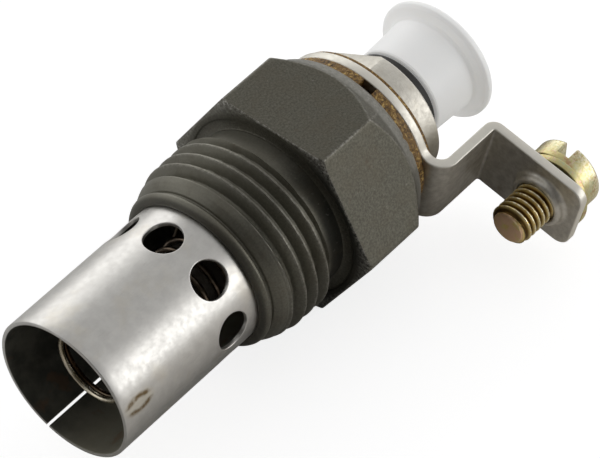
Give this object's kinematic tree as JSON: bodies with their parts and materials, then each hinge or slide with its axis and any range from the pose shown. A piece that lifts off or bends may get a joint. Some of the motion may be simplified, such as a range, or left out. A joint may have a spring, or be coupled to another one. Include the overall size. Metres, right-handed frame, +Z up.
{
  "type": "flame heater plug",
  "caption": "Threaded hexagon plug with a perforated flame shield, a coil-heated ball valve, an insulated terminal strip with its screw, and a capped fuel inlet.",
  "frame": {"origin": "on the plug's axis at the middle of the mounting thread", "axes": "+X along the plug from the shield's mouth to the fuel inlet, +Z up with the plug lying on a hexagon flat, the terminal tab towards -Y"},
  "size_m": [0.0616, 0.0384, 0.024],
  "materials": {
    "phosphated_steel": "granular dark phosphate",
    "stainless_sheet": "satin rolled sheet",
    "plain_steel": "turned",
    "stainless_bar": "turned",
    "ball_steel": "polished",
    "ceramic": "matte",
    "resistance_wire": "drawn, heat tinted",
    "igniter_wire": "drawn",
    "copper": "soft copper",
    "moulded_resin": "moulded",
    "resin_fibre": "granular brown resin fibre",
    "nickel_plate": "satin nickel",
    "black_rubber": "matte",
    "gauze": "woven wire",
    "natural_polythene": "milky, unpigmented",
    "yellow_zinc": "yellow passivated zinc"
  },
  "bodies": {
    "plug": {"hex_body": "phosphated_steel", "shield": "stainless_sheet", "fuel_adaptor": "plain_steel", "valve_tube": "stainless_bar", "valve_seat": "stainless_bar", "coil_sleeve": "ceramic", "heater_coil": "resistance_wire", "igniter_coil": "igniter_wire", "live_lead": "igniter_wire", "copper_washer": "copper", "insulating_bush": "moulded_resin", "outer_washer": "resin_fibre", "terminal_strip": "nickel_plate", "rear_washer": "resin_fibre", "clamp_nut": "nickel_plate", "seal_ring": "black_rubber", "inlet_filter": "gauze"},
    "cap": {"transit_cap": "natural_polythene"},
    "washer": {"spring_washer": "yellow_zinc"},
    "screw": {"terminal_screw": "yellow_zinc"},
    "stem": {"valve_stem": "stainless_bar"},
    "ball": {"valve_ball": "ball_steel"}
  },
  "joints": [
    {"name": "cap_pull", "type": "slide", "parent": "plug", "child": "cap", "axis": [1, 0, 0], "range_m": [0, 0.008]},
    {"name": "screw_travel", "type": "slide", "parent": "plug", "child": "washer", "axis": [1, 0, 0], "range_m": [0, 0.0056]},
    {"name": "screw_turn", "type": "hinge", "parent": "washer", "child": "screw", "pos_m": [0.0264, -0.01914, -0.00396], "axis": [1, 0, 0], "range_deg": [0, 2520]},
    {"name": "stem_draw", "type": "slide", "parent": "plug", "child": "stem", "axis": [-1, 0, 0], "range_m": [0, 0.0003]},
    {"name": "ball_lift", "type": "slide", "parent": "plug", "child": "ball", "axis": [-1, 0, 0], "range_m": [0, 0.0003]}
  ],
  "couplings": [
    {"joint": "screw_turn", "follows": "screw_travel", "rad_per_m": 7854},
    {"joint": "ball_lift", "follows": "stem_draw", "ratio": 1}
  ]
}
